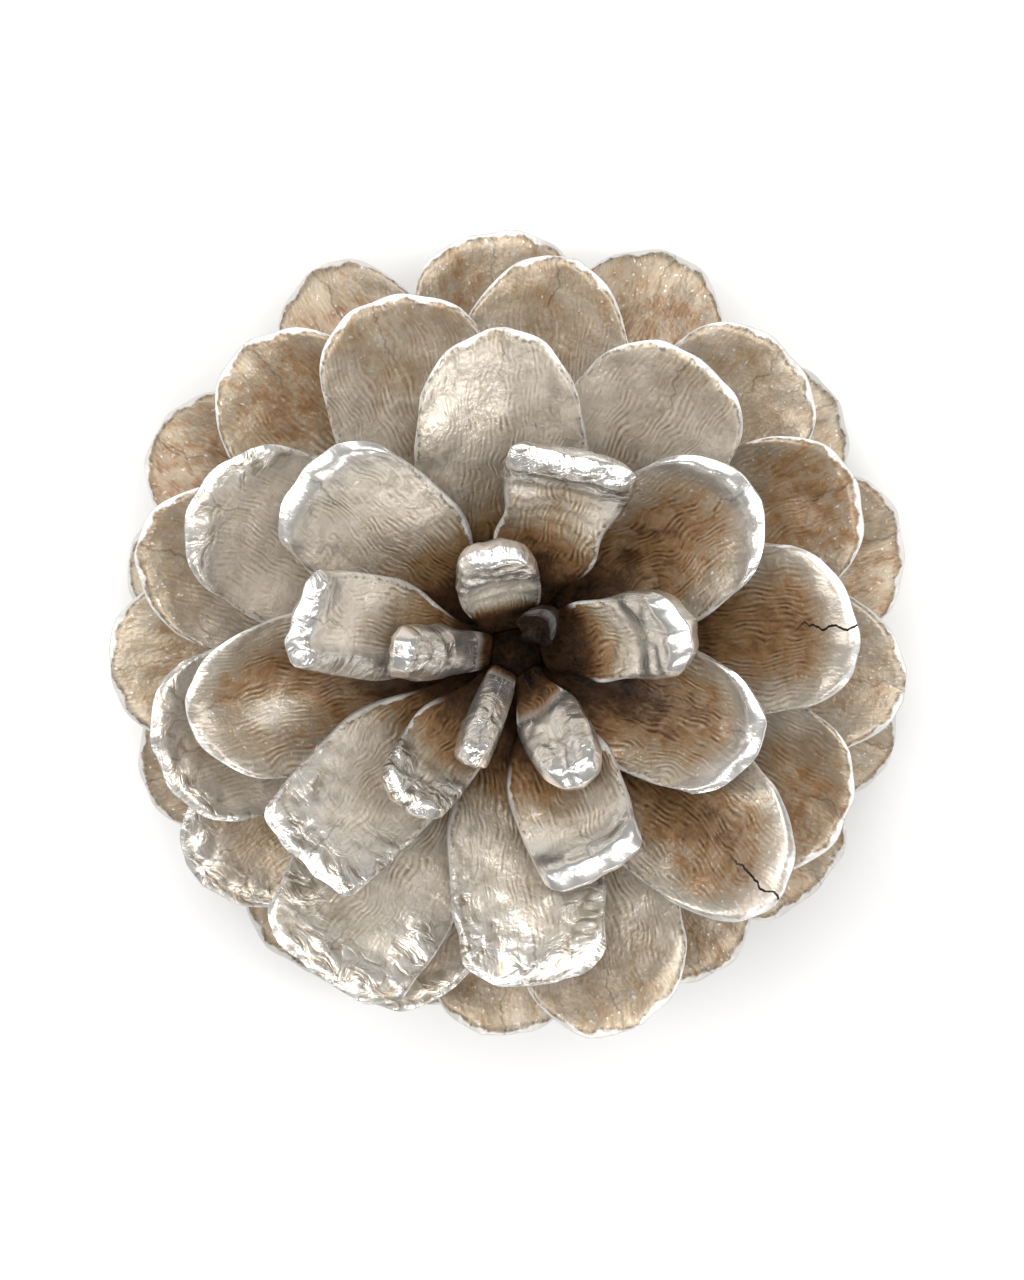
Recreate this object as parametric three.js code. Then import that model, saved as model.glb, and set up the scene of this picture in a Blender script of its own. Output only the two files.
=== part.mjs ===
// An open pine cone, sprayed with pale metallic paint, standing on its stalk scar.
// Millimetres, +Z up. The origin is the middle of the flat stalk scar.
// Every woody scale is a solid of its own that springs from the central axis.
import * as THREE from "three";

// ---- driving dimensions ----
const CONE_RADIUS = 31.8;       // reach of the widest scales from the axis
const FIRST_TURN = 274;         // degrees, direction of the scale nearest the tip
const GOLDEN_TURN = 137.5;      // degrees from each scale to the next one down
const REACH_GROWTH = 13.8;      // scales over which the reach grows towards its full size
const REACH_LEAD = 3;           // scales by which that growth starts above the first one
const TOP_SEAT = 34;            // height at which the first scale leaves the axis
const LOW_SEAT = 8;             // height at which the last scale leaves the axis
const TOP_OPENING = 36;         // degrees between the first scale and the axis
const LOW_OPENING = 115;        // degrees between the last scale and the axis
const FULL_WIDTH = 14;          // width of a fully grown scale
const LEAST_WIDTH = 3.6;        // width of the first scale
const WIDTH_GROWTH = 10;        // scales over which the width grows towards its full size
const WIDTH_ONSET = 1.7;        // above 1 the width grows slowly at first
const BASAL_SHORTER = 0.34;     // share of its reach that the last scale lacks
const BASAL_NARROWER = 0.25;    // share of its width that the last scale lacks
const CLAW_SHARE = 0.3;         // width of a scale's foot as a share of its full width
const CLAW_THICK = 1.3;
const BLADE_THICK = 1.2;
const PAD_THICK = 2.1;          // thickness of the swollen end
const FIRST_PAD = 0.8;          // share of that thickness which the first scale has
const OPENING_CURVE = 1.15;     // above 1 the upper scales stay steeper for longer
const ARCH = 14;                // degrees that a scale bends back along its length
const OPENING_STRAY = 2;        // degrees by which openings stray from the even spiral
const ROLL_STRAY = 5;           // degrees by which scales are twisted about their length
const CUP = 0.9;                // rise of the side edges above the middle line
const GAP = 0.3;                // clearance between a scale's foot and the axis
const SIDES = 10;               // facets around a scale
const STATIONS = 8;             // facets along a scale

// ---- the axis: heights and radii from the stalk scar to the tip ----
const SCAR_RADIUS = 3.8;
const AXIS_PROFILE = [
  [0, 0], [SCAR_RADIUS, 0], [3.7, 1.4], [4.3, 3], [5.1, 6], [5.4, 9],
  [5.3, 14], [4.8, 19], [4, 24], [3, 28], [1.9, 31.4], [1.1, 33.4],
  [0.6, 34.4], [0, 34.8],
];
const AXIS_FACETS = 20;

// ---- groups of scales, counted from the tip down ----
const ZONES = [
  ["tip_scale", 8],
  ["upper_scale", 13],
  ["middle_scale", 16],
  ["lower_scale", 13],
  ["basal_scale", 8],
];
const SCALE_COUNT = ZONES.reduce((sum, [, count]) => sum + count, 0);
const LAST = SCALE_COUNT - 1;
const BASAL_START = 44;         // from here down the scales get shorter and narrower

// ---- how single scales stray from the even spiral: degrees of turn and millimetres of reach ----
const TURN_OFFSETS = {
  0: -29, 2: -18, 3: -24, 4: -6, 5: -11, 6: -5, 7: 8, 9: 2.5, 10: 13, 11: -3, 12: 12,
  13: 13, 14: -2, 15: 11, 16: 5, 18: 9, 20: 7, 21: 6, 30: 4, 38: -6,
};
const REACH_OFFSETS = {
  0: 1.6, 1: -3, 2: -0.5, 3: -1.2, 4: -3.2, 5: -1.4, 6: -2, 8: -1.2, 9: -1.9, 10: 1,
  11: -1.8, 12: -0.4, 13: 0.9, 14: -1, 16: 1.6, 18: 1.5, 21: 1.8, 22: -0.8,
};

const PAINTED_WOOD = new THREE.MeshStandardMaterial({
  name: "painted_wood", color: 0xa8906f, roughness: 0.5, metalness: 0.35,
});
const DARK_WOOD = new THREE.MeshStandardMaterial({
  name: "dark_wood", color: 0x3a2a1c, roughness: 0.85, metalness: 0,
});

const radians = THREE.MathUtils.degToRad;
const { clamp, lerp, smoothstep } = THREE.MathUtils;

// A repeatable number between -1 and 1 for scale k.
const stray = (k, salt) => Math.sin(k * 12.9898 + salt * 78.233);

// Radius of the axis at a height, read off the straight stretches of its profile.
function axisRadius(height) {
  for (let i = 2; i < AXIS_PROFILE.length; i += 1) {
    const [lowRadius, low] = AXIS_PROFILE[i - 1];
    const [highRadius, high] = AXIS_PROFILE[i];
    if (height <= high) return lerp(lowRadius, highRadius, (height - low) / (high - low));
  }
  return 0;
}

// 0 down to the last full-sized scale, then up to 1 for the last scale.
const basal = (k) => Math.max(0, (k - BASAL_START) / (LAST - BASAL_START));

// How far scale k's tip is from the axis.
function reach(k) {
  const grown = 1 - Math.exp(-(k + REACH_LEAD) / REACH_GROWTH);
  const shortened = 1 - BASAL_SHORTER * basal(k) ** 2;
  return CONE_RADIUS * grown * shortened + (REACH_OFFSETS[k] ?? 0);
}

// Seat, direction and size of scale k.
function scaleDimensions(k) {
  const down = k / LAST;
  const seat = lerp(TOP_SEAT, LOW_SEAT, down);
  const evenOpening = lerp(TOP_OPENING, LOW_OPENING, down ** OPENING_CURVE);
  const opening = radians(evenOpening + OPENING_STRAY * stray(k, 1));
  const footRadius = axisRadius(seat) + GAP + CLAW_THICK / 2;
  const grown = 1 - Math.exp(-((k / WIDTH_GROWTH) ** WIDTH_ONSET));
  return {
    turn: radians(FIRST_TURN + GOLDEN_TURN * k + (TURN_OFFSETS[k] ?? 0)),
    seat,
    opening,
    footRadius,
    length: (reach(k) - footRadius) / Math.sin(opening),
    width: lerp(LEAST_WIDTH, FULL_WIDTH, grown) * (1 - BASAL_NARROWER * basal(k)),
    pad: PAD_THICK * lerp(FIRST_PAD, 1, grown),
    roll: radians(ROLL_STRAY * stray(k, 2)),
  };
}

// Share of the full width at s, from the foot (0) to the tip (1): it spreads to WIDEST_AT,
// and from ROUND_FROM the end is rounded off.
const WIDEST_AT = 0.62;
const ROUND_FROM = 0.7;
function widthShare(s) {
  const spread = lerp(CLAW_SHARE, 1, smoothstep(s, 0, WIDEST_AT));
  const round = clamp((s - ROUND_FROM) / (1 - ROUND_FROM), 0, 1) ** 2.2;
  return spread * Math.sqrt(1 - 0.9 * round);
}

// A scale seen along its own bend: a cylinder drawn out to a foot, a blade and a swollen end.
function scaleGeometry({ opening, length, width, pad, roll }) {
  const geometry = new THREE.CylinderGeometry(1, 1, 1, SIDES, STATIONS);
  const position = geometry.attributes.position;
  const bend = radians(ARCH);
  const start = opening - bend / 2;
  for (let i = 0; i < position.count; i += 1) {
    const s = Math.sin((position.getY(i) + 0.5) * Math.PI / 2);
    const across = -position.getX(i);
    const rise = position.getZ(i);
    const blade = lerp(CLAW_THICK, BLADE_THICK, smoothstep(s, 0, 0.4));
    const swell = (pad - BLADE_THICK) * smoothstep(s, 0.55, 0.86);
    const rim = 1 - 0.55 * smoothstep(s, 0.88, 1);
    const under = (blade / 2 + swell) * rim;
    const over = blade / 2;
    const cup = CUP * across * across * smoothstep(s, 0.1, 0.6);
    const side = across * width * widthShare(s) / 2;
    const up = rise * (rise > 0 ? over : under) + cup;
    const sideways = side * Math.cos(roll) - up * Math.sin(roll);
    const normal = side * Math.sin(roll) + up * Math.cos(roll);
    const heading = start + bend * s;
    const out = length / bend * (Math.cos(start) - Math.cos(heading));
    const climb = length / bend * (Math.sin(heading) - Math.sin(start));
    position.setXYZ(
      i,
      out - normal * Math.cos(heading),
      sideways,
      climb + normal * Math.sin(heading),
    );
  }
  geometry.computeVertexNormals();
  return geometry;
}

function makeScale(name, k) {
  const size = scaleDimensions(k);
  const mesh = new THREE.Mesh(scaleGeometry(size), PAINTED_WOOD);
  mesh.name = name;
  mesh.rotation.z = size.turn;
  mesh.position.set(
    size.footRadius * Math.cos(size.turn),
    size.footRadius * Math.sin(size.turn),
    size.seat,
  );
  return mesh;
}

// The woody spindle with the stalk scar, a lathe shape stood upright.
function makeAxis() {
  const outline = AXIS_PROFILE.map(([radius, height]) => new THREE.Vector2(radius, height));
  const mesh = new THREE.Mesh(new THREE.LatheGeometry(outline, AXIS_FACETS), DARK_WOOD);
  mesh.name = "cone_axis";
  mesh.rotation.x = Math.PI / 2;
  return mesh;
}

const cone = new THREE.Group();
cone.add(makeAxis());
let k = 0;
for (const [zone, count] of ZONES) {
  for (let number = 1; number <= count; number += 1) {
    cone.add(makeScale(`${zone}_${String(number).padStart(2, "0")}`, k));
    k += 1;
  }
}

export default cone;
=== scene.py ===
"""An open pine cone sprayed with champagne metallic paint, grown scale by scale around its frame."""

import math
from types import SimpleNamespace

import bmesh
import bpy
import numpy as np
from bpy.props import FloatProperty, FloatVectorProperty, IntProperty, PointerProperty
from mathutils import Matrix, Vector, noise


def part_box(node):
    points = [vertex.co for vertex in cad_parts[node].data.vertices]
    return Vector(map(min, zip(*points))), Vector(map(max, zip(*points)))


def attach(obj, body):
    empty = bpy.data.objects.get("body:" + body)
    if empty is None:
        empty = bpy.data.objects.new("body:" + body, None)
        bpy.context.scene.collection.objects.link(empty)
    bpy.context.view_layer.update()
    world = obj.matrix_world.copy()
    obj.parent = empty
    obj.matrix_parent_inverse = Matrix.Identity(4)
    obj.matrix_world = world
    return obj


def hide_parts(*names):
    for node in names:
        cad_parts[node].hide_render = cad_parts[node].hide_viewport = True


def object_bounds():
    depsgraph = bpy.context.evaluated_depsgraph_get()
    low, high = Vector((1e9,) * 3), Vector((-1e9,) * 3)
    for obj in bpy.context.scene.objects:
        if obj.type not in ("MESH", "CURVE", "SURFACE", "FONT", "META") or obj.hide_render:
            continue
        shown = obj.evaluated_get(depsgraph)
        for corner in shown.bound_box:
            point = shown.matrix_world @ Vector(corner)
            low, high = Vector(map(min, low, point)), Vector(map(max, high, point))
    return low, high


bl_info = {
    "name": "Painted Pine Cone",
    "version": (1, 0, 0),
    "blender": (4, 5, 0),
    "location": "3D View > Sidebar > Pine Cone",
    "description": "Builds an open pine cone with painted scales around its packed frame",
    "category": "Add Mesh",
}

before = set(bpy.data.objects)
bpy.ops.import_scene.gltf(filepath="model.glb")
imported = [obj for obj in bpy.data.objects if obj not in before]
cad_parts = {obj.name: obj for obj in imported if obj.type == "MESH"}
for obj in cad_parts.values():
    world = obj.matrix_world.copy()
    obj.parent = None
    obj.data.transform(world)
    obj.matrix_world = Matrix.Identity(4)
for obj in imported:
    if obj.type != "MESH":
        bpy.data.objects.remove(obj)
CAD_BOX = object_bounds()

MM = 0.001                      # one millimetre in the scene's metres
BODY = "root"                   # every piece rides on it
SPINDLE = "cone_axis"
GOLDEN_TURN = math.radians(137.5)   # from each scale to the next one down

# ---- groups of scales, from the tip down, as the frame names them ----
ZONES = ("tip_scale", "upper_scale", "middle_scale", "lower_scale", "basal_scale")
SCALE_NODES = [name for zone in ZONES for name in sorted(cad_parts) if name.startswith(zone)]

# ---- the grid that every scale is built on ----
ROWS = 54                       # from foot to tip
COLUMNS = 40                    # from edge to edge, on each face
FOOT_BURIED = 0.05              # share of the length that the foot runs into the spindle
CURVE_STEPS = 160               # points along the middle line before it is fitted
MERGE_WITHIN = 0.002 * MM       # points of the two faces that meet at the rim
FOOT_THICK = 1.3 * MM
POINT_AT = 0.86                 # share of the length at which the blunt point under the end lies
NOISE_STEP = 7.3                # keeps the noise of one scale clear of the next one's
UNDERSIDE_STEP = 40             # keeps the noise of a lower face clear of the upper one's

# ---- the small scales around the stalk, down to the last one next to it ----
STALK_OPENING = 104             # degrees between the uppermost one and the axis
STALK_OPENS_WIDER = 10          # degrees by which the last one leans down more
STALK_NARROWER = 0.35           # share of the width that the last one lacks
STALK_FOOT_LOWER = 0.3 * MM     # from the foot of the frame's last scale to the first foot
STALK_FOOT_NEARER = 1.3 * MM    # by which the last foot is nearer to the axis
STALK_LOW_SEAT = 2.4 * MM       # height of the last foot
LOWEST_TIP = 3 * MM             # how near the floor one may point

# ---- the grid of the spindle ----
SPINDLE_LEVELS = 90
SPINDLE_FACETS = 72
RIDGE_LENGTH = 6.25 * MM        # along the spindle

# ---- the studio, in metres and watts: name, place, size and power of each soft light ----
SOFT_LIGHTS = (
    ("overhead_softbox", (0.0, 0.12, 0.9), (0.45, 0.45), 4.4),
    ("key_softbox", (-0.1, 0.5, 0.6), (0.5, 0.3), 2.35),
    ("left_strip", (-0.5, 0.05, 0.45), (0.12, 0.5), 1.2),
    ("right_strip", (0.5, 0.0, 0.5), (0.12, 0.5), 1.2),
    ("front_strip", (0.05, -0.5, 0.4), (0.4, 0.12), 0.9),
)
SKY_STRENGTH = 0.28
FLOOR_HALF = 1.5
PICTURE_RATIO = 1024 / 1280     # width of the picture against its height
CONE_SHARE = 0.79               # of the picture's width


def linear(hex_colour):
    """An sRGB hex colour as linear red, green and blue."""
    values = [int(hex_colour[i:i + 2], 16) / 255 for i in (1, 3, 5)]
    return tuple(v / 12.92 if v <= 0.04045 else ((v + 0.055) / 1.055) ** 2.4 for v in values)


def smooth(x, low, high):
    """0 below low, 1 above high, and an even S between them."""
    t = np.clip((np.asarray(x, float) - low) / (high - low), 0, 1)
    return t * t * (3 - 2 * t)


def hump(x, middle, half_width):
    """A bell of height 1 around middle."""
    return np.exp(-(((x - middle) / half_width) ** 2))


def stray(k, salt):
    """A repeatable number between -1 and 1 for scale k."""
    return math.sin(k * 12.9898 + salt * 78.233)


# =====================================================================================
# What a user may change
# =====================================================================================

def length_property(name, description, millimetres):
    """A length that a user may change, with its default in millimetres."""
    return FloatProperty(
        name=name, description=description, default=millimetres * MM, min=0, unit="LENGTH", precision=5
    )


def colour_property(name, description, hex_colour):
    """A colour that a user may change, with its default as an sRGB hex value."""
    return FloatVectorProperty(
        name=name, description=description, default=linear(hex_colour), min=0, max=1, size=3,
        subtype="COLOR",
    )


class ConeSizes(bpy.types.PropertyGroup):
    """Thicknesses and relief of the woody scales."""

    blade: length_property("Blade", "Thickness of a scale's thin middle", 1.0)
    swollen: length_property("Swollen end", "Thickness of the end of a scale near the tip", 2.2)
    keel: length_property("Keel", "Height of the ridge under a scale's end", 0.9)
    cup: length_property("Cup", "Rise of a scale's side edges above its middle", 1.2)
    fibre: length_property("Fibre relief", "Height of the long ridges on a scale", 0.07)
    crinkle: length_property("Crinkle", "Height of the wrinkles in a crinkled end", 0.2)
    arch: FloatProperty(
        name="Arch", description="How far a scale bends back along its length",
        default=math.radians(14), subtype="ANGLE",
    )


class PaintColours(bpy.types.PropertyGroup):
    """Colours of the wood and of the paint on it, with the painted shade, highlight and reflections."""

    # Also the painted highlight along the rims and the bright painted reflection on the ends.
    silver_and_highlight: colour_property("Silver", "Thick bright paint on rims and ends", "#DFDCD7")
    # Also the middle tone of the painted reflection on the ends.
    greyed_paint_and_reflection: colour_property("Greyed", "Uneven paint in the zone behind the rim", "#958A7A")
    # Painted reflection: dark patches in the folds of the thick paint, and an intermittent dark line
    # inside the rim.
    shadow: colour_property("Shadow", "Dark creases in the thick paint", "#4C4741")
    pale: colour_property("Pale", "The best covered places of the faces", "#E3D9CB")
    champagne: colour_property("Champagne", "Even paint on the outer faces", "#B0A18B")
    thin_paint: colour_property("Thin paint", "Paint that lets the wood show through", "#876846")
    wood: colour_property("Wood", "Bare wood of a scale", "#4A321D")
    # Near black: bare wood, and the painted shade of the deep recess, the scales' feet and the splits.
    shaded_deep_wood: colour_property("Deep wood", "Bare wood around the spindle", "#120A05")


class StalkScales(bpy.types.PropertyGroup):
    """The small crowded scales under the last row of the frame."""

    count: IntProperty(
        name="Count", description="How many small scales ring the stalk", default=16, min=0,
    )
    longest: length_property("Longest", "Length of the uppermost small scale", 13.5)
    shortest: length_property("Shortest", "Length of the small scale next to the stalk", 5.5)
    width: length_property("Width", "Width of the uppermost small scale", 8.5)


class StageSettings(bpy.types.PropertyGroup):
    """Floor, light and camera."""

    floor: colour_property("Floor", "Pale floor", "#F7F7F6")
    camera_distance: FloatProperty(
        name="Camera distance", description="From the middle of the cone to the camera",
        default=0.42, min=0.1, unit="LENGTH",
    )
    camera_lean: FloatProperty(
        name="Camera lean", description="Angle between the cone's axis and the line to the camera",
        default=math.radians(6.5), subtype="ANGLE",
    )


# =====================================================================================
# Materials
# =====================================================================================

def put(tree, kind, links=None, **settings):
    """Adds a node with its settings. Each key of links is an input, for a value, a socket or a node."""
    node = tree.nodes.new(kind)
    for key, value in settings.items():
        setattr(node, key, value)
    for key, value in (links or {}).items():
        if isinstance(value, bpy.types.Node):
            value = next(socket for socket in value.outputs if socket.enabled)
        if isinstance(value, bpy.types.NodeSocket):
            tree.links.new(value, node.inputs[key])
        else:
            node.inputs[key].default_value = value
    return node


def opaque(colour):
    """The colour with an alpha of 1, as sockets and ramps want it."""
    return (*colour, 1.0)


def new_material(name):
    """An empty node material and its tree."""
    material = bpy.data.materials.new(name)
    material.use_nodes = True
    tree = material.node_tree
    tree.nodes.clear()
    return material, tree


def set_stops(ramp, stops):
    """Gives a colour ramp its stops, as pairs of position and colour."""
    while len(ramp.elements) < len(stops):
        ramp.elements.new(1.0)
    for element, (position, colour) in zip(ramp.elements, stops):
        element.position = position
        element.color = opaque(colour)


def painted_wood():
    """Pine wood under a thin, uneven coat of sprayed champagne metallic paint.

    The eye gets satin beige faces with wavy combed grain, brown where the spray hardly reached and
    near black in the recess, which is painted shade, and bright silver on rims and swollen ends, where
    the paint lies thick, with a painted highlight along the rims and painted bright and dark reflections
    in the folds of the ends.
    """
    colours = bpy.context.scene.paint_colours
    material, tree = new_material("sprayed_pine_wood")

    # Attributes, with lengths in millimetres: lie = (along, across, a step for each scale),
    # edge = (round the rim, in from the rim, 0), coat = (cover, which also carries painted shade in
    # the recess, thick paint, greyed) and marks = (strokes, split, foil).
    lie = put(tree, "ShaderNodeAttribute", attribute_name="lie").outputs["Vector"]
    edge = put(tree, "ShaderNodeAttribute", attribute_name="edge").outputs["Vector"]
    coat = put(tree, "ShaderNodeAttribute", attribute_name="coat").outputs["Vector"]
    marks = put(tree, "ShaderNodeAttribute", attribute_name="marks").outputs["Vector"]
    across = put(tree, "ShaderNodeSeparateXYZ", {0: lie}).outputs["Y"]
    inward = put(tree, "ShaderNodeSeparateXYZ", {0: edge}).outputs["Y"]
    cover, thick, grey = put(tree, "ShaderNodeSeparateXYZ", {0: coat}).outputs
    strokes, split, foil = put(tree, "ShaderNodeSeparateXYZ", {0: marks}).outputs

    # The grain waves by half a millimetre over 4 mm.
    bends = put(tree, "ShaderNodeTexNoise", {"Vector": lie, "Scale": 0.25, "Detail": 1.0})
    centred = put(tree, "ShaderNodeVectorMath", {0: bends.outputs["Color"], 1: (0.5, 0.5, 0.5)},
                  operation="SUBTRACT")
    wavy = put(tree, "ShaderNodeVectorMath", {0: centred, 1: (1.4, 2.2, 0.0), 2: lie},
               operation="MULTIPLY_ADD")

    # Each pattern: where it is read, repeats per millimetre, detail, distortion.
    patterns = {
        "gap": (wavy, (0.7, 1.5, 1.0), 1.0, 0.0),
        "fine": (wavy, (2.0, 5.0, 1.0), 2.0, 0.6),
        "blotch": (lie, (0.3, 0.36, 1.0), 3.0, 0.4),
        "patch": (lie, (0.8, 1.0, 1.0), 2.0, 0.6),
        "speck": (lie, (2.6, 3.0, 1.0), 1.0, 0.0),
        "tick": (edge, (0.9, 0.5, 0.0), 4.0, 0.0),
        "crease": (wavy, (0.95, 0.6, 1.0), 3.0, 1.1),
    }
    seen = {}
    for key, (place, repeats, detail, distortion) in patterns.items():
        stretched = put(tree, "ShaderNodeVectorMath", {0: place, 1: repeats}, operation="MULTIPLY")
        seen[key] = put(tree, "ShaderNodeTexNoise", {
            "Vector": stretched, "Scale": 1.0, "Detail": detail, "Distortion": distortion,
        })

    # Combed lines 0.4 mm apart run along a scale, wave and come and go every 2 mm.
    lines = put(tree, "ShaderNodeTexWave", {
        "Vector": wavy, "Scale": 0.85, "Distortion": 5.0, "Detail": 1.0, "Detail Scale": 0.5,
    }, bands_direction="Y")
    shown = put(tree, "ShaderNodeMapRange", {"Value": seen["gap"], "From Min": 0.42, "From Max": 0.66})
    seen["stroke"] = put(tree, "ShaderNodeMix", {0: shown, 2: 0.5, 3: lines.outputs["Fac"]})

    # Each change of the cover: pattern, how much it counts. The strokes count as the attribute says.
    level = cover
    for key, weight in (("blotch", 0.42), ("patch", 0.34), ("fine", 0.3)):
        shift = put(tree, "ShaderNodeMath", {0: seen[key], 1: 0.5}, operation="SUBTRACT")
        level = put(tree, "ShaderNodeMath", {0: shift, 1: weight, 2: level}, operation="MULTIPLY_ADD")
    shift = put(tree, "ShaderNodeMath", {0: seen["stroke"], 1: 0.5}, operation="SUBTRACT")
    level = put(tree, "ShaderNodeMath", {0: shift, 1: strokes, 2: level}, operation="MULTIPLY_ADD")
    # Painted shade: the lowest levels, towards the axis and at the feet, run to near black.
    shades = put(tree, "ShaderNodeValToRGB", {"Fac": level})
    set_stops(shades.color_ramp, (
        (0.0, colours.shaded_deep_wood), (0.22, colours.wood), (0.46, colours.thin_paint),
        (0.7, colours.champagne), (1.0, colours.pale),
    ))

    # Painted reflection: the thick paint of the ends gets bright and dark patches painted into its
    # colour, in folds about 1 mm apart, the stronger the more foil.
    folded = put(tree, "ShaderNodeMix", {0: foil, 2: 0.57, 3: seen["crease"]})
    painted_mirror = put(tree, "ShaderNodeValToRGB", {"Fac": folded})
    set_stops(painted_mirror.color_ramp, (
        (0.28, colours.shadow), (0.42, colours.greyed_paint_and_reflection), (0.53, colours.silver_and_highlight),
    ))

    # The ragged edge of the thick paint on the rim wanders by 0.15 mm. It bounds the painted highlight
    # along the rim and the painted dark reflection inside it.
    wander = put(tree, "ShaderNodeMath", {0: seen["tick"], 1: -1.1, 2: 0.55}, operation="MULTIPLY_ADD")
    ragged = put(tree, "ShaderNodeMath", {0: wander, 1: inward}, operation="ADD")

    # Each mask: what it reads, where it starts, where it is full.
    limits = {
        "mottled": (seen["patch"], 0.42, 0.62),
        "dots": (seen["speck"], 0.67, 0.75),
        "painted": (level, 0.35, 0.65),
        "reached": (cover, 0.18, 0.42),
        # Painted highlight along the rim.
        "rim": (ragged, 0.3, 0.15),
        "dark_reflection_inside_rim": (ragged, 0.56, 0.3),
        "behind_rim": (inward, 2.2, 0.3),
        "dark_reflection_breaks": (seen["speck"], 0.5, 0.4),
    }
    mask = {
        key: put(tree, "ShaderNodeMapRange", {"Value": value, "From Min": start, "From Max": full},
                 interpolation_type="SMOOTHSTEP")
        for key, (value, start, full) in limits.items()
    }
    # Each coat over the one before: the masks it needs together, its strength, its colour.
    coats = (
        ((grey, mask["mottled"]), 0.6, colours.greyed_paint_and_reflection),
        ((grey, mask["dots"], mask["painted"]), 0.9, colours.silver_and_highlight),
        # Painted reflection: an intermittent dark line just inside the rim.
        ((mask["dark_reflection_inside_rim"], mask["dark_reflection_breaks"], mask["painted"]), 0.6, colours.shadow),
        # Painted highlight: a bright line along the rim, on its thick silver paint.
        ((mask["rim"], mask["reached"]), 1.0, colours.silver_and_highlight),
        # Painted reflection in the thick paint of the ends.
        ((thick,), 1.0, painted_mirror),
    )
    base = shades
    for needed, strength, colour in coats:
        amount = strength
        for part in needed:
            amount = put(tree, "ShaderNodeMath", {0: part, 1: amount}, operation="MULTIPLY")
        top = colour if isinstance(colour, bpy.types.Node) else opaque(colour)
        base = put(tree, "ShaderNodeMix", {0: amount, 6: base, 7: top}, data_type="RGBA")

    # A crooked line 0.18 mm wide along the middle, in the near-black of painted shade: faint on most
    # scales, and on two a dark split with painted shade in it.
    crooks = put(tree, "ShaderNodeTexNoise", {
        "Vector": put(tree, "ShaderNodeVectorMath", {0: lie, 1: (0.55, 0.0, 1.0)}, operation="MULTIPLY"),
        "Scale": 1.0, "Detail": 3.0,
    })
    aside = put(tree, "ShaderNodeMath", {0: crooks, 1: 2.6, 2: -1.3}, operation="MULTIPLY_ADD")
    off_line = put(tree, "ShaderNodeMath", {0: across, 1: aside, 2: 0.09}, operation="COMPARE")
    gape = put(tree, "ShaderNodeMath", {0: off_line, 1: split}, operation="MULTIPLY")
    base = put(tree, "ShaderNodeMix", {0: gape, 6: base, 7: opaque(colours.shaded_deep_wood)}, data_type="RGBA")

    metal = put(tree, "ShaderNodeMath", {0: mask["painted"], 1: 0.42, 2: 0.05}, operation="MULTIPLY_ADD")
    metal = put(tree, "ShaderNodeMath", {0: thick, 1: 0.4, 2: metal}, operation="MULTIPLY_ADD",
                use_clamp=True)
    rough = put(tree, "ShaderNodeMath", {0: strokes, 1: -0.3, 2: 0.46}, operation="MULTIPLY_ADD")
    rough = put(tree, "ShaderNodeMix", {0: thick, 2: rough, 3: 0.26})

    # Each relief: pattern, where it stands out, height in shares of the bump distance.
    plain = put(tree, "ShaderNodeMath", {0: 1.0, 1: thick}, operation="SUBTRACT")
    combed = put(tree, "ShaderNodeMath", {0: plain, 1: strokes}, operation="MULTIPLY")
    crinkled = put(tree, "ShaderNodeMath", {0: thick, 1: foil}, operation="MULTIPLY")
    relief = 0.0
    for key, place, height in (("stroke", combed, 0.35), ("fine", combed, 0.6), ("patch", combed, 1.2),
                               ("blotch", combed, 3.0), ("speck", plain, 0.25),
                               ("tick", mask["behind_rim"], 0.7), ("crease", crinkled, 3.0)):
        raised = put(tree, "ShaderNodeMath", {0: seen[key], 1: place}, operation="MULTIPLY")
        relief = put(tree, "ShaderNodeMath", {0: raised, 1: height, 2: relief}, operation="MULTIPLY_ADD")
    bump = put(tree, "ShaderNodeBump", {"Height": relief, "Strength": 0.9, "Distance": 0.17 * MM})
    shader = put(tree, "ShaderNodeBsdfPrincipled", {
        "Base Color": base, "Metallic": metal, "Roughness": rough, "Normal": bump,
    })
    put(tree, "ShaderNodeOutputMaterial", {"Surface": shader})
    return material


def shaded_bare_wood():
    """Weathered pine wood, unpainted: matt, dark brown and fibrous, mixed with near-black painted shade,
    so that the recess around the spindle looks deep.
    """
    colours = bpy.context.scene.paint_colours
    material, tree = new_material("bare_pine_wood_painted_shade")
    place = put(tree, "ShaderNodeTexCoord").outputs["Object"]
    # Fibres 0.7 mm apart that run up the spindle for 5 mm.
    per_metre = put(tree, "ShaderNodeVectorMath", {0: place, 1: (1400, 1400, 200)}, operation="MULTIPLY")
    fibre = put(tree, "ShaderNodeTexNoise", {
        "Vector": per_metre, "Scale": 1.0, "Detail": 4.0, "Roughness": 0.65,
    })
    shown = put(tree, "ShaderNodeMapRange", {"Value": fibre, "From Min": 0.4, "From Max": 1.2})
    base = put(tree, "ShaderNodeMix", {
        0: shown, 6: opaque(colours.shaded_deep_wood), 7: opaque(colours.wood),
    }, data_type="RGBA")
    bump = put(tree, "ShaderNodeBump", {"Height": fibre, "Strength": 0.8, "Distance": 0.3 * MM})
    shader = put(tree, "ShaderNodeBsdfPrincipled", {
        "Base Color": base, "Roughness": 1.0, "Specular IOR Level": 0.1, "Normal": bump,
    })
    put(tree, "ShaderNodeOutputMaterial", {"Surface": shader})
    return material


def matt_card():
    """White card, uncoated: it stays even and throws light back up between the scales."""
    material, tree = new_material("matt_white_card")
    shader = put(tree, "ShaderNodeBsdfPrincipled", {
        "Base Color": opaque(bpy.context.scene.stage_settings.floor), "Roughness": 0.9,
    })
    put(tree, "ShaderNodeOutputMaterial", {"Surface": shader})
    return material


def shared(maker):
    """The material that a maker function makes, made once."""
    key = f"made_by_{maker.__name__}"
    name = bpy.context.scene.get(key)
    if name is None:
        material = maker()
        bpy.context.scene[key] = material.name
        return material
    return bpy.data.materials[name]
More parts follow.
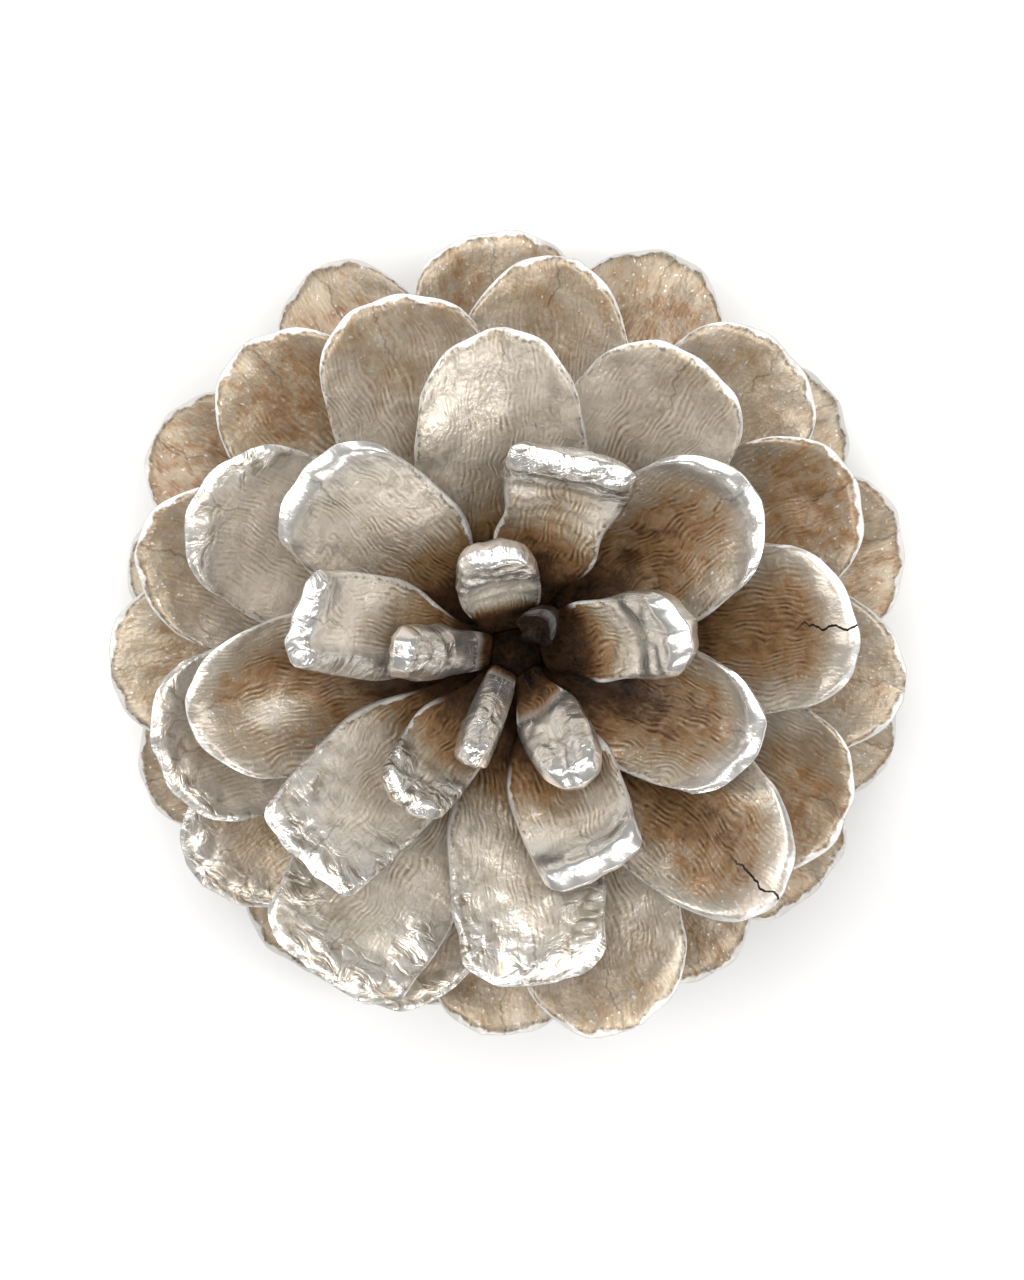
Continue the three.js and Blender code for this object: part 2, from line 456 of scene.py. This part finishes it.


# =====================================================================================
# The shape of a scale
# =====================================================================================

# How scales differ, in shares of the length or width where nothing else is said.
# Outline: drop = how far the corners lie behind the tip, square = 2 for a round end and more for a
# blunt one, waist = narrowing behind the end, flare = widening at the end, wide = width against the
# solid's, claw = width of the foot, end = where the end starts.
# Relief: swell = 1 for a fully swollen end, foil = 1 for an end crinkled like foil, cup = how hollow,
# curl = degrees that the end turns up, split = 1 for a split in the end, hem = 1 for a thick rolled
# edge on one side, folds = 1 for shallow folds across the face.
# Paint: bare = how much of it is missing, shaded_foot = where the black foot ends, which is painted
# shade as well as bare wood, fade = how far that fades into the painted face, lit = how far the painted
# shade of the recess spares it, where the spray also reached it better, grey = how grey its face is,
# oval = 1 for a pale oval patch.
PLAIN = {
    "drop": 0.26, "square": 2.05, "waist": 0.0, "flare": 0.0, "swell": 0.0, "end": 0.72, "foil": 0.0,
    "cup": 1.0, "curl": 6.0, "wide": 1.0, "split": 0.3, "bare": 0.0, "shaded_foot": 0.12, "fade": 0.5,
    "claw": 0.3, "lit": 0.0, "grey": 0.0, "hem": 0.0, "folds": 0.0, "oval": 0.0,
}
KINDS = {
    "petal": {},
    "stick": {"drop": 0.1, "swell": 0.9, "end": 0.05, "foil": 0.4, "cup": -0.8, "curl": -8.0,
              "wide": 0.82, "claw": 0.8, "lit": 1.0, "shaded_foot": 0.0},
    # The stub is left near black: painted shade of the dark core, as well as bare wood.
    "stub": {"drop": 0.1, "cup": 0.8, "wide": 0.8, "bare": 2.4, "shaded_foot": 1.3},
    "knob": {"drop": 0.2, "swell": 1.1, "end": 0.34, "foil": 0.22, "cup": 0.3, "curl": -10.0,
             "wide": 1.1, "claw": 0.5, "shaded_foot": 0.2, "lit": 0.9, "grey": 0.5},
    "twist": {"drop": 0.12, "swell": 0.9, "end": 0.12, "foil": 0.32, "cup": -0.9, "curl": -6.0,
              "claw": 0.7, "shaded_foot": 0.05, "lit": 1.0},
    "spoon": {"drop": 0.2, "square": 2.3, "waist": 0.12, "swell": 1.15, "end": 0.64, "foil": 0.05,
              "cup": 1.0, "curl": 8.0, "bare": -0.2, "shaded_foot": 0.34, "fade": 0.4, "claw": 0.65,
              "lit": 1.0, "grey": 0.8, "folds": 0.5},
    "hood": {"drop": 0.2, "swell": 0.8, "end": 0.6, "foil": 0.35, "cup": 0.5, "curl": -2.0,
             "wide": 1.12, "bare": -0.5, "shaded_foot": 0.3, "fade": 0.2, "claw": 0.8, "lit": 1.0, "grey": 0.7,
             "folds": 1.4},
    "rolled": {"drop": 0.14, "square": 2.5, "swell": 1.0, "end": 0.76, "foil": 0.05, "cup": 0.6,
               "curl": 4.0, "bare": 0.1, "shaded_foot": 0.3, "lit": 0.5, "grey": 0.3, "folds": 0.6},
    "banked": {"drop": 0.16, "square": 2.4, "swell": 0.55, "end": 0.82, "foil": 0.1, "cup": 0.8,
               "grey": 0.4},
    "hemmed": {"drop": 0.14, "square": 2.6, "swell": 0.6, "end": 0.8, "foil": 0.4, "cup": 0.2,
               "curl": 2.0, "lit": 0.6, "grey": 0.3, "hem": 1.0},
    "hammer": {"drop": 0.1, "square": 3.0, "waist": 0.2, "flare": 0.1, "swell": 0.9, "end": 0.77,
               "foil": 0.5, "cup": 0.3, "curl": 4.0, "bare": 0.6, "shaded_foot": 0.2, "folds": 1.2},
    "ragged": {"drop": 0.16, "square": 2.6, "swell": 0.6, "end": 0.66, "foil": 0.9, "cup": 0.8,
               "bare": 0.4},
    "boxy": {"drop": 0.13, "square": 3.2, "swell": 0.2, "end": 0.6, "foil": 0.75, "cup": 0.5,
             "curl": 6.0, "bare": -0.15, "grey": 0.3},
    "lipped": {"drop": 0.2, "swell": 0.6, "end": 0.83, "foil": 0.1, "cup": 1.7, "curl": 10.0,
               "bare": 1.2, "lit": 0.3},
    "hollow": {"drop": 0.2, "swell": 0.2, "end": 0.86, "foil": 0.3, "cup": 1.7, "curl": 10.0,
               "bare": 1.2, "oval": 1.0},
    "split": {"swell": 0.3, "end": 0.86, "split": 1.0, "cup": 0.8, "bare": 1.2},
    "foiled": {"swell": 0.1, "end": 0.78, "foil": 0.65},
    "browned": {"bare": 0.45, "cup": 1.3},
}
KIND_OF = {
    0: "stick", 1: "stub", 2: "twist", 3: "knob", 4: "hood", 5: "ragged", 6: "spoon", 7: "hemmed",
    8: "rolled", 9: "hammer", 10: "boxy", 11: "lipped", 12: "banked", 13: "boxy", 14: "lipped",
    15: "hollow", 16: "split", 18: "boxy", 19: "split", 20: "foiled", 23: "foiled", 24: "browned",
    26: "foiled", 27: "browned", 31: "foiled", 33: "browned",
}


def kind_of(k):
    """The end details of scale k, strayed a little from those of its kind."""
    kind = dict(PLAIN)
    kind.update(KINDS[KIND_OF.get(k, "petal")])
    kind["cup"] += 0.35 * stray(k, 3)
    kind["curl"] += 4 * stray(k, 4)
    kind["drop"] *= 1 + 0.12 * stray(k, 5)
    kind["square"] *= 1 + 0.06 * stray(k, 6)
    return kind


def measured(node):
    """Turn, foot, tip and width of a scale, measured on its solid in the frame.

    Foot and tip are pairs of radius and height, each the mean of the few points at that end.
    """
    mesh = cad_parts[node].data
    points = np.array([v.co for v in mesh.vertices], float)
    middle = points.mean(0)
    turn = math.atan2(middle[1], middle[0])
    outward = np.array((math.cos(turn), math.sin(turn), 0.0))
    sideways = np.array((-math.sin(turn), math.cos(turn), 0.0))
    flat = np.stack([points @ outward, points[:, 2]], 1)
    inner = flat[flat[:, 0] < np.quantile(flat[:, 0], 0.12)].mean(0)
    ahead = flat.mean(0) - inner
    ahead /= np.linalg.norm(ahead)
    run = flat @ ahead
    foot = flat[run < run.min() + 0.35 * MM].mean(0)
    tip = flat[run > run.max() - 0.12 * MM].mean(0)
    return {"turn": turn, "foot": foot, "tip": tip, "width": float(np.ptp(points @ sideways))}


def middle_line(foot, tip, arch, curl):
    """Points and headings of a scale's bent middle line, which runs from foot to tip."""
    s = np.linspace(0, 1, CURVE_STEPS)
    heading = arch * (s - 0.5) - curl * smooth(s, 0.6, 1.0)
    step = np.stack([np.sin(heading), np.cos(heading)], 1) / (CURVE_STEPS - 1)
    line = np.concatenate([np.zeros((1, 2)), np.cumsum((step[1:] + step[:-1]) / 2, 0)])
    chord, wanted = line[-1], tip - foot
    scale = np.linalg.norm(wanted) / np.linalg.norm(chord)
    turn = math.atan2(wanted[0], wanted[1]) - math.atan2(chord[0], chord[1])
    cos, sin = math.cos(turn), math.sin(turn)
    out = foot[0] + scale * (line[:, 0] * cos + line[:, 1] * sin)
    up = foot[1] + scale * (line[:, 1] * cos - line[:, 0] * sin)
    return s, out, up, heading + turn, scale


def fractal(places, octaves=3):
    """Smooth noise between about -1 and 1 at each place of a grid."""
    values = [noise.fractal(Vector(p), 1.0, 2.0, octaves) for p in places.reshape(-1, 3)]
    return np.array(values).reshape(places.shape[:-1])


def outline(k, kind, length, width):
    """A flat scale, as grids of rows from foot to tip by a ring of columns round both faces."""
    # Rows crowd together towards the tip, and columns towards the edges.
    rows = np.linspace(0, 1, ROWS + 1)
    a = (1 + FOOT_BURIED) * (1 - (1 - rows) ** 1.5) - FOOT_BURIED
    u = np.linspace(-1, 1, COLUMNS + 1)
    b_face = 0.45 * u + 0.55 * np.sin(u * math.pi / 2)
    b = np.concatenate([b_face, b_face[-2:0:-1]])
    upper = np.concatenate([np.ones(COLUMNS + 1), -np.ones(COLUMNS - 1)])
    upper[0] = upper[COLUMNS] = 0
    a, b = np.meshgrid(a, b, indexing="ij")
    upper = np.broadcast_to(upper, a.shape)

    square = kind["square"]
    rounding = 1 - (1 - np.abs(b) ** square) ** (1 / square)
    drop = kind["drop"] + 0.1 * (width / length - 0.5)
    tip_noise = 0.008 * np.sin(3.1 * b + 9 * stray(k, 7)) + 0.004 * np.sin(11 * b + 5 * stray(k, 8))
    s = a * (1 - drop * rounding + tip_noise * smooth(a, 0.5, 1))
    share = kind["claw"] + (1 - kind["claw"]) * smooth(a, 0.0, 0.6)
    share *= 1 - kind["waist"] * hump(a, 0.62, 0.16)
    share *= 1 + kind["flare"] * smooth(a, 0.8, 0.97)
    share *= 1 - 0.06 * smooth(a, 0.8, 1.0)
    lean = 1 + 0.05 * stray(k, 9) * np.sign(b) * smooth(a, 0.2, 0.7)
    across = b * share * lean * width / 2

    # Distance in from the outline, in millimetres, measured to the nearer of side and tip.
    from_side = (1 - np.abs(b)) * share * width / 2 / MM + 1e-4
    from_tip = (1 - a) * length * (1 - drop) / MM + 1e-4
    inward = (from_side ** -2.5 + from_tip ** -2.5) ** (-1 / 2.5)
    along = s * length
    round_rim = np.arctan2(across, along - 0.62 * length) * width / 2
    lie = np.stack([along / MM, across / MM, np.full(a.shape, NOISE_STEP * k)], -1)
    return SimpleNamespace(
        a=a, b=b, upper=upper, s=s, length=length, width=width, along=along, across=across,
        inward=inward, round_rim=round_rim, lie=lie,
    )


def add_noise(flat, k):
    """Adds to a flat scale the noise that its relief and its paint share."""
    face = flat.lie.copy()
    face[..., 2] += UNDERSIDE_STEP * (flat.upper < 0)
    rim = np.stack([flat.round_rim / MM * 0.8, np.full(flat.a.shape, 3.1 * k), 0 * flat.a], -1)
    flat.broad = fractal(flat.lie * (0.14, 0.2, 1))
    flat.fibres = fractal(face * (0.09, 1.1, 1))
    flat.creases = 1 - 2 * np.abs(fractal(face * (0.42, 0.5, 1), 4))
    flat.patches = fractal(face * (0.33, 0.4, 1))
    flat.ripple = fractal(rim)


def add_end(flat, kind):
    """Adds where the end of a flat scale lies, its rolled hem, and how far each place swells."""
    flat.end = smooth(flat.a, kind["end"], kind["end"] + 0.18)
    flat.hem = kind["hem"] * smooth(flat.b, 0.3, 0.6) * smooth(flat.a, 0.15, 0.4)
    flat.swell = np.maximum(kind["swell"] * smooth(flat.a, kind["end"], kind["end"] + 0.17), flat.hem)


def underside_relief(flat, sizes):
    """Height of the keel and the blunt point under the end, less on a small scale."""
    a, b = flat.a, flat.b
    small = min(1.0, (flat.width / (11 * MM)) ** 2)
    keel = small * sizes.keel * hump(b, 0, 0.35) * smooth(a, 0.3, 0.8) * (1 - smooth(a, POINT_AT, 1))
    from_point = np.hypot(flat.across, (a - POINT_AT) * flat.length)
    point = small * (0.55 * MM * hump(from_point, 0, 1.1 * MM) + 0.3 * MM * hump(a, POINT_AT, 0.05))
    return keel + (point + 0.35 * MM * small) * smooth(a, 0.7, 0.84)


def surface_height(flat, k, kind, sizes):
    """Height of both faces of a scale over its bent middle line."""
    a, b, inward = flat.a, flat.b, flat.inward
    body = FOOT_THICK + (sizes.blade - FOOT_THICK) * smooth(a, 0.0, 0.35)
    edge_round = (1 - np.abs(b) ** 5) ** 0.5
    tip_round = np.sqrt(np.clip(1 - smooth(a, 0.9, 1.0) ** 2, 0, 1))
    closing = edge_round * np.where(a > 0.9, tip_round, 1)
    pad = (sizes.swollen - sizes.blade) * flat.swell
    over = body / 2 + 0.45 * pad
    under = body / 2 + 0.55 * pad + underside_relief(flat, sizes)

    hollow = sizes.cup * kind["cup"] * (b ** 2 - 0.35) * smooth(a, 0.08, 0.5)
    sag = 0.35 * MM * flat.broad * smooth(a, 0.1, 0.5)
    sheet = hollow + sag + (0.08 + 0.1 * kind["foil"]) * MM * flat.ripple * flat.end
    lip = 0.16 * MM * hump(inward, 0.4, 0.3) * smooth(a, 0.3, 0.65)
    folds = 0.04 * MM * kind["folds"] * np.sin(flat.along / MM * 4.6 + 2.5 * b ** 2 + 5 * flat.broad)
    folds *= smooth(a, kind["shaded_foot"], kind["shaded_foot"] + 0.2) * smooth(inward, 0.2, 1.5)
    groove = 0.14 * MM * (0.6 + 0.4 * stray(k, 12)) * hump(b, 0.12 * stray(k, 13), 0.05)
    groove *= smooth(a, 0.72, 0.9) * smooth(inward, 0.2, 1.0)
    fibre = sizes.fibre * flat.fibres * smooth(inward, 0.1, 1.2) * smooth(a, 0.0, 0.2)
    fine = folds - groove + fibre
    crinkled = kind["foil"] * flat.end + 0.15 * flat.swell
    rough_end = sizes.crinkle * flat.creases * crinkled + 0.03 * MM * flat.creases * flat.end
    top = (over + lip * (1 - flat.swell) + rough_end) * closing + fine
    bottom = (under + 0.6 * rough_end) * closing - fine
    return sheet + np.where(flat.upper > 0, top, 0) - np.where(flat.upper < 0, bottom, 0)


def wander_edges(flat, kind):
    """Lets the side edges of a scale wander a little, most on a swollen end."""
    wander = (0.1 + 0.15 * kind["foil"]) * MM * flat.ripple * flat.end
    flat.across = flat.across + np.sign(flat.b) * np.abs(flat.b) ** 3 * wander
    flat.lie[..., 1] = flat.across / MM


def stand_up(flat, height, k, place, line):
    """Bends a scale along its middle line and sets it in the cone.

    Gives its points, and each one's radius and sideways place in millimetres.
    """
    s_line, out_line, up_line, heading_line, _ = line
    s, across = flat.s, flat.across
    # The buried foot runs straight on beyond the line.
    before = np.minimum(s, 0) * flat.length
    out = np.interp(s, s_line, out_line) + before * np.sin(heading_line[0])
    up = np.interp(s, s_line, up_line) + before * np.cos(heading_line[0])
    heading = np.interp(s, s_line, heading_line)
    roll = math.radians(5) * stray(k, 2) + math.radians(6) * stray(k, 10) * smooth(flat.a, 0.4, 1)
    side = across * np.cos(roll) - height * np.sin(roll)
    normal = across * np.sin(roll) + height * np.cos(roll)
    radial = out - normal * np.cos(heading)
    x = radial * math.cos(place["turn"]) - side * math.sin(place["turn"])
    y = radial * math.sin(place["turn"]) + side * math.cos(place["turn"])
    z = np.maximum(up + normal * np.sin(heading), 0)
    return np.stack([x, y, z], -1), radial / MM, side / MM


def spray(flat, k, kind, radial, side):
    """How the paint lies: thin inside the cone and in the middle of a face, thick on ends and rims.
    Towards the axis and at the feet it darkens with painted shade as well as thin paint.

    Inward, radial and side are in millimetres.
    """
    a, inward, upper = flat.a, flat.inward, flat.upper
    # Painted shade: darker towards the axis and at each scale's foot, where the recess is in shade and
    # the spray also reached less; lit spares a scale from the first.
    sprayed = np.maximum(smooth(radial, 2.0, 13.0), kind["lit"])
    sprayed = sprayed * smooth(a, kind["shaded_foot"] - 0.12, kind["shaded_foot"] + kind["fade"])
    cover = 1.08 + 0.05 * stray(k, 11) - 0.27 * smooth(inward, 0.8, 5.5)
    cover -= 0.43 * smooth(radial, 18, 27)
    cover += 0.55 * kind["oval"] * hump(radial, 17.4, 2.6) * hump(side, 1.2, 1.4)
    cover -= kind["bare"] * 0.4 * (1 - 0.6 * smooth(inward, 3.0, 0.4))
    cover = cover * (0.1 + 0.9 * sprayed) * np.where(upper < 0, 0.7, 1)

    foil = kind["foil"]
    patches = np.clip(1 + 1.2 * foil * flat.patches, 0, 1)
    lip_paint = smooth(inward, 3.0, 0.8) * smooth(a, kind["end"] - 0.05, kind["end"] + 0.15)
    foil_paint = foil * flat.end * smooth(inward, 2 + 4 * foil, 0.4) * patches
    thick = np.clip(np.maximum.reduce([1.5 * kind["swell"] * lip_paint, foil_paint, flat.hem]), 0, 1)
    grey = np.maximum(smooth(inward, 5.0, 1.0) * (0.65 + 0.35 * stray(k, 14)), kind["grey"])
    grey = np.maximum(grey, 0.8 * smooth(radial, 20, 28)) * smooth(sprayed, 0.4, 0.9)
    strokes = (0.06 + 0.34 * smooth(radial, 27, 17)) * smooth(cover, 0.1, 0.5)
    split = kind["split"] * smooth((1 - flat.s) * flat.length / MM, 6.5, 3.5) * (upper > 0)
    return {
        "lie": flat.lie,
        "edge": np.stack([flat.round_rim / MM, inward, 0 * a], -1),
        "coat": np.stack([cover, thick, grey], -1),
        "marks": np.stack([strokes, split, np.full(a.shape, foil)], -1),
    }


def scale_grid(place, k, kind, sizes):
    """Vertex places and paint attributes of one scale, as grids of rows by ring columns."""
    line = middle_line(place["foot"], place["tip"], sizes.arch, math.radians(kind["curl"]))
    flat = outline(k, kind, line[-1], place["width"] * kind["wide"])
    add_noise(flat, k)
    add_end(flat, kind)
    height = surface_height(flat, k, kind, sizes)
    wander_edges(flat, kind)
    points, radial, side = stand_up(flat, height, k, place, line)
    return points, spray(flat, k, kind, radial, side)


def solid_scale(name, points, attributes):
    """A closed mesh object from the grids of one scale."""
    rows, ring = points.shape[:2]
    places = points.reshape(-1, 3)
    faces = []
    for i in range(rows - 1):
        for j in range(ring):
            n = (j + 1) % ring
            faces.append((i * ring + j, (i + 1) * ring + j, (i + 1) * ring + n, i * ring + n))
    # The foot is closed by strips from its upper to its under side.
    for j in range(COLUMNS):
        low_left = (ring - j) % ring
        low_right = ring - j - 1
        corners = dict.fromkeys((j, j + 1, low_right, low_left))
        faces.append(tuple(corners))
    mesh = bpy.data.meshes.new(name)
    mesh.from_pydata([tuple(p) for p in places], [], faces)
    for key, values in attributes.items():
        layer = mesh.attributes.new(key, "FLOAT_VECTOR", "POINT")
        layer.data.foreach_set("vector", values.reshape(-1).astype(np.float32))
    shape = bmesh.new()
    shape.from_mesh(mesh)
    bmesh.ops.remove_doubles(shape, verts=shape.verts, dist=MERGE_WITHIN)
    bmesh.ops.dissolve_degenerate(shape, edges=shape.edges, dist=MERGE_WITHIN / 20)
    bmesh.ops.recalc_face_normals(shape, faces=shape.faces)
    shape.to_mesh(mesh)
    shape.free()
    mesh.shade_smooth()
    piece = bpy.data.objects.new(name, mesh)
    bpy.context.collection.objects.link(piece)
    return piece


def grow_scale(name, place, k):
    """One painted scale at its place, riding on the cone."""
    sizes = bpy.context.scene.cone_sizes
    points, attributes = scale_grid(place, k, kind_of(k), sizes)
    piece = solid_scale(name, points, attributes)
    piece.data.materials.append(shared(painted_wood))
    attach(piece, BODY)
    return piece


def grow_zone(zone):
    """Every scale of one zone, in place of its solid in the frame."""
    for node in SCALE_NODES:
        if node.startswith(zone):
            k = SCALE_NODES.index(node)
            piece = grow_scale(f"{node}_painted", measured(node), k)
            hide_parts(node)


# =====================================================================================
# Operators
# =====================================================================================

def spindle_outline():
    """Heights of the spindle's solid in the frame, and its radius at each."""
    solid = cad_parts[SPINDLE].data
    heights = np.array([v.co.z for v in solid.vertices])
    reaches = np.array([math.hypot(v.co.x, v.co.y) for v in solid.vertices])
    levels = np.unique(heights.round(5))
    return levels, [reaches[np.abs(heights - z) < 2e-5].max() for z in levels]


class CONE_OT_spindle(bpy.types.Operator):
    """Grow the woody spindle with its stalk scar"""

    bl_idname = "cone.spindle"
    bl_label = "Spindle"

    def execute(self, context):
        low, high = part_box(SPINDLE)
        ridge_height = 0.04 * (high.x - low.x) / 2
        levels, radii = spindle_outline()
        shape = bmesh.new()
        rings = []
        for level in np.linspace(0, 1, SPINDLE_LEVELS)[1:-1]:
            z = low.z + (high.z - low.z) * level
            ring = []
            for turn in np.linspace(0, 2 * math.pi, SPINDLE_FACETS, endpoint=False):
                place = Vector((3 * math.cos(turn), 3 * math.sin(turn), z / RIDGE_LENGTH))
                ridge = noise.fractal(place, 1.0, 2.0, 4)
                reach = np.interp(z, levels, radii) + ridge_height * ridge
                ring.append(shape.verts.new((reach * math.cos(turn), reach * math.sin(turn), z)))
            rings.append(ring)
        scar = [shape.verts.new((v.co.x, v.co.y, low.z)) for v in rings[0]]
        rings.insert(0, scar)
        top = shape.verts.new((0, 0, high.z))
        for j in range(SPINDLE_FACETS):
            n = (j + 1) % SPINDLE_FACETS
            for lower, upper in zip(rings, rings[1:]):
                shape.faces.new((lower[j], lower[n], upper[n], upper[j]))
            shape.faces.new((rings[-1][j], rings[-1][n], top))
        shape.faces.new(list(reversed(scar)))
        mesh = bpy.data.meshes.new("spindle_wood")
        shape.to_mesh(mesh)
        shape.free()
        mesh.shade_smooth()
        mesh.materials.append(shared(shaded_bare_wood))
        piece = bpy.data.objects.new("spindle_wood", mesh)
        context.collection.objects.link(piece)
        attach(piece, BODY)
        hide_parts(SPINDLE)
        return {"FINISHED"}


class CONE_OT_tip_scales(bpy.types.Operator):
    """Grow the narrow, steep scales with swollen ends at the tip"""

    bl_idname = "cone.tip_scales"
    bl_label = "Tip Scales"

    def execute(self, context):
        grow_zone("tip_scale")
        return {"FINISHED"}


class CONE_OT_upper_scales(bpy.types.Operator):
    """Grow the broader, hollow scales around the tip"""

    bl_idname = "cone.upper_scales"
    bl_label = "Upper Scales"

    def execute(self, context):
        grow_zone("upper_scale")
        return {"FINISHED"}


class CONE_OT_middle_scales(bpy.types.Operator):
    """Grow the full-width scales of the cone's shoulder"""

    bl_idname = "cone.middle_scales"
    bl_label = "Middle Scales"

    def execute(self, context):
        grow_zone("middle_scale")
        return {"FINISHED"}


class CONE_OT_lower_scales(bpy.types.Operator):
    """Grow the level scales of the widest ring"""

    bl_idname = "cone.lower_scales"
    bl_label = "Lower Scales"

    def execute(self, context):
        grow_zone("lower_scale")
        return {"FINISHED"}


class CONE_OT_basal_scales(bpy.types.Operator):
    """Grow the short scales that bend down towards the stalk"""

    bl_idname = "cone.basal_scales"
    bl_label = "Basal Scales"

    def execute(self, context):
        grow_zone("basal_scale")
        return {"FINISHED"}


class CONE_OT_stalk_scales(bpy.types.Operator):
    """Grow the small crowded scales between the last row and the stalk scar"""

    bl_idname = "cone.stalk_scales"
    bl_label = "Stalk Scales"

    def execute(self, context):
        ring = context.scene.stalk_scales
        last = measured(SCALE_NODES[-1])
        first_foot = last["foot"] - np.array((0, STALK_FOOT_LOWER))
        last_foot = np.array((last["foot"][0] - STALK_FOOT_NEARER, STALK_LOW_SEAT))
        for i in range(ring.count):
            k = len(SCALE_NODES) + i
            down = i / max(1, ring.count - 1)
            opening = math.radians(STALK_OPENING + STALK_OPENS_WIDER * down)
            length = ring.longest + (ring.shortest - ring.longest) * down
            foot = first_foot + (last_foot - first_foot) * down
            tip = foot + length * np.array((math.sin(opening), math.cos(opening)))
            tip[1] = max(tip[1], LOWEST_TIP)
            place = {
                "turn": last["turn"] + GOLDEN_TURN * (i + 1), "foot": foot, "tip": tip,
                "width": ring.width * (1 - STALK_NARROWER * down),
            }
            grow_scale(f"stalk_scale_{i + 1:02d}", place, k)
        return {"FINISHED"}


def lay_floor():
    """A wide white floor at the foot of the cone."""
    half = FLOOR_HALF
    mesh = bpy.data.meshes.new("floor")
    corners = [(-half, -half, 0), (half, -half, 0), (half, half, 0), (-half, half, 0)]
    mesh.from_pydata(corners, [], [(0, 1, 2, 3)])
    mesh.materials.append(shared(matt_card))
    floor = bpy.data.objects.new("floor", mesh)
    floor.location.z = CAD_BOX[0].z
    bpy.context.collection.objects.link(floor)


def hang_light(name, place, size, watts, centre):
    """A rectangular soft light that faces the centre."""
    lamp = bpy.data.lights.new(name, "AREA")
    lamp.shape = "RECTANGLE"
    lamp.size, lamp.size_y = size
    lamp.energy = watts
    light = bpy.data.objects.new(name, lamp)
    light.location = place
    light.rotation_euler = (centre - Vector(place)).to_track_quat("-Z", "Y").to_euler()
    bpy.context.collection.objects.link(light)


def light_sky(scene):
    """Even white light from all round, so that no shadow is black."""
    world = bpy.data.worlds.new("studio")
    world.use_nodes = True
    sky = world.node_tree.nodes["Background"]
    sky.inputs["Color"].default_value = (1, 1, 1, 1)
    sky.inputs["Strength"].default_value = SKY_STRENGTH
    scene.world = world


def set_camera(scene, centre):
    """A camera that looks down on the tip of the cone, which fills its share of the picture."""
    settings = scene.stage_settings
    low, high = CAD_BOX
    lean = settings.camera_lean
    back = Vector((0, math.sin(lean), math.cos(lean)))
    right = Vector((1, 0, 0))
    upward = back.cross(right)
    lens = bpy.data.cameras.new("camera")
    lens.sensor_fit = "AUTO"
    seen_width = lens.sensor_width * PICTURE_RATIO * CONE_SHARE
    lens.lens = seen_width * settings.camera_distance / (high.x - low.x)
    camera = bpy.data.objects.new("camera", lens)
    turn = Matrix((right, upward, back)).transposed().to_4x4()
    camera.matrix_world = Matrix.Translation(centre + back * settings.camera_distance) @ turn
    bpy.context.collection.objects.link(camera)
    scene.camera = camera


class CONE_OT_stage(bpy.types.Operator):
    """Set up the pale floor, the soft light and the camera"""

    bl_idname = "cone.stage"
    bl_label = "Stage"

    def execute(self, context):
        centre = (CAD_BOX[0] + CAD_BOX[1]) / 2
        lay_floor()
        for name, place, size, watts in SOFT_LIGHTS:
            hang_light(name, place, size, watts, centre)
        light_sky(context.scene)
        set_camera(context.scene, centre)
        context.scene.view_settings.view_transform = "Standard"
        return {"FINISHED"}


class CONE_PT_panel(bpy.types.Panel):
    """The cone's settings and its operators, in building order"""

    bl_idname = "CONE_PT_panel"
    bl_label = "Painted Pine Cone"
    bl_space_type = "VIEW_3D"
    bl_region_type = "UI"
    bl_category = "Pine Cone"

    def draw(self, context):
        scene = context.scene
        groups = ((scene.cone_sizes, "Scales"), (scene.paint_colours, "Paint"),
                  (scene.stalk_scales, "Stalk scales"), (scene.stage_settings, "Stage"))
        for group, label in groups:
            box = self.layout.box()
            box.label(text=label)
            for key in group.__annotations__:
                box.prop(group, key)
        for operator in OPERATORS:
            self.layout.operator(operator.bl_idname)


OPERATORS = (
    CONE_OT_spindle, CONE_OT_tip_scales, CONE_OT_upper_scales, CONE_OT_middle_scales,
    CONE_OT_lower_scales, CONE_OT_basal_scales, CONE_OT_stalk_scales, CONE_OT_stage,
)
GROUPS = {
    "cone_sizes": ConeSizes, "paint_colours": PaintColours,
    "stalk_scales": StalkScales, "stage_settings": StageSettings,
}
CLASSES = (*GROUPS.values(), *OPERATORS, CONE_PT_panel)


def register():
    for item in CLASSES:
        bpy.utils.register_class(item)
    for key, group in GROUPS.items():
        setattr(bpy.types.Scene, key, PointerProperty(type=group))


def unregister():
    for key in GROUPS:
        delattr(bpy.types.Scene, key)
    for item in reversed(CLASSES):
        bpy.utils.unregister_class(item)


def main():
    register()
    bpy.ops.cone.spindle()
    bpy.ops.cone.tip_scales()
    bpy.ops.cone.upper_scales()
    bpy.ops.cone.middle_scales()
    bpy.ops.cone.lower_scales()
    bpy.ops.cone.basal_scales()
    bpy.ops.cone.stalk_scales()
    bpy.ops.cone.stage()


if __name__ == "__main__":
    main()
